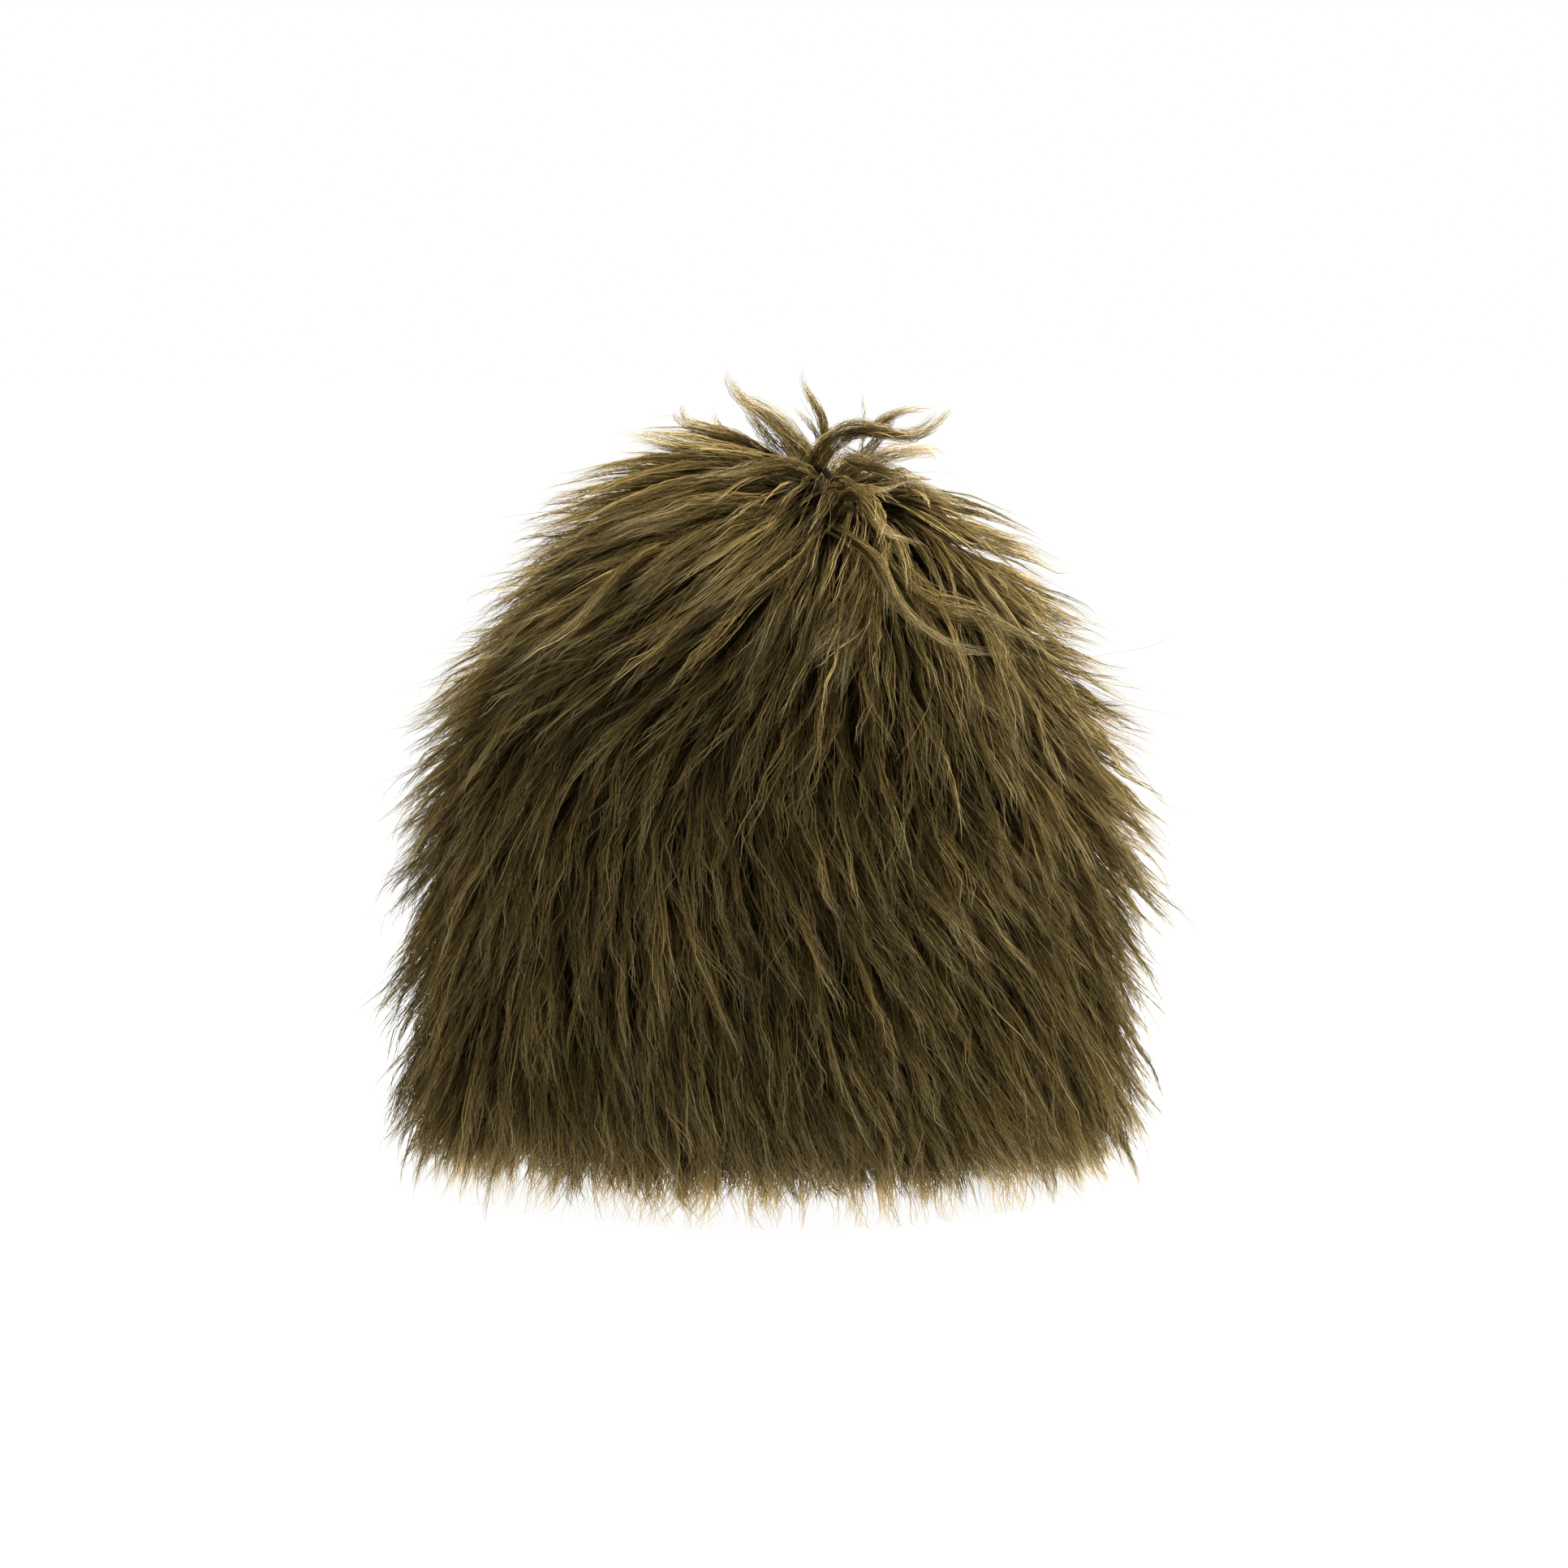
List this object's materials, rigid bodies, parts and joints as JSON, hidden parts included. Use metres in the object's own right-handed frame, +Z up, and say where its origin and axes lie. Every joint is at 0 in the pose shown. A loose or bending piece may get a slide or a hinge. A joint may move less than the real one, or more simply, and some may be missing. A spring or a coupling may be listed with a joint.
{
  "type": "fur beanie",
  "caption": "Domed beanie of deep long-haired fur combed away from a whorl at the crown, on a thin hollow backing open at the hem, with a shaggy fringe below it.",
  "frame": {"origin": "on the floor under the middle of the hat", "axes": "+Z up through the crown; the front faces -Y and +X is to the right seen from the front"},
  "size_m": [0.2668, 0.2621, 0.271],
  "materials": {
    "backing_knit": "matte knitted backing, dark olive brown",
    "fur_hair": "long olive brown hair, dark at the roots and khaki at the tips, soft sheen"
  },
  "bodies": {
    "root": {"crown_backing": "backing_knit", "fur_pile": "fur_hair"}
  },
  "joints": []
}
